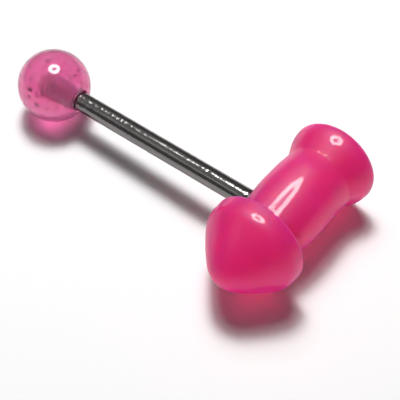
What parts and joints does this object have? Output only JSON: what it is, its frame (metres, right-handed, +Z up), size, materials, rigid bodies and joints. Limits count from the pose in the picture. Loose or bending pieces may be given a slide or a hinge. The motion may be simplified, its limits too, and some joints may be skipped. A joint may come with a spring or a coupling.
{
  "type": "tongue barbell",
  "caption": "Straight steel bar with a screw-on glitter ball at one end and a screw-on moulded novelty top across the other, worn through a tongue piercing.",
  "frame": {"origin": "on the surface the barbell lies on, under the middle of its box", "axes": "+Z up; +X along the bar from the ball to the novelty top; +Y along the novelty top from its cap to its foot"},
  "size_m": [0.0298, 0.0152, 0.0079],
  "materials": {
    "steel": "polished, with fine drawn lines along the bar",
    "glitter_acrylic": "clear pink with glitter in it, glossy",
    "pink_acrylic": "hot pink, cloudy, glossy"
  },
  "bodies": {
    "bar": {"bar": "steel"},
    "ball": {"ball_end": "glitter_acrylic"},
    "top": {"novelty_top": "pink_acrylic"}
  },
  "joints": [
    {"name": "ball_off", "type": "slide", "parent": "bar", "child": "ball", "axis": [-0.9993, 0, -0.0363], "range_m": [0, 0.02]},
    {"name": "top_off", "type": "slide", "parent": "bar", "child": "top", "axis": [0.9993, 0, 0.0363], "range_m": [0, 0.012]}
  ]
}
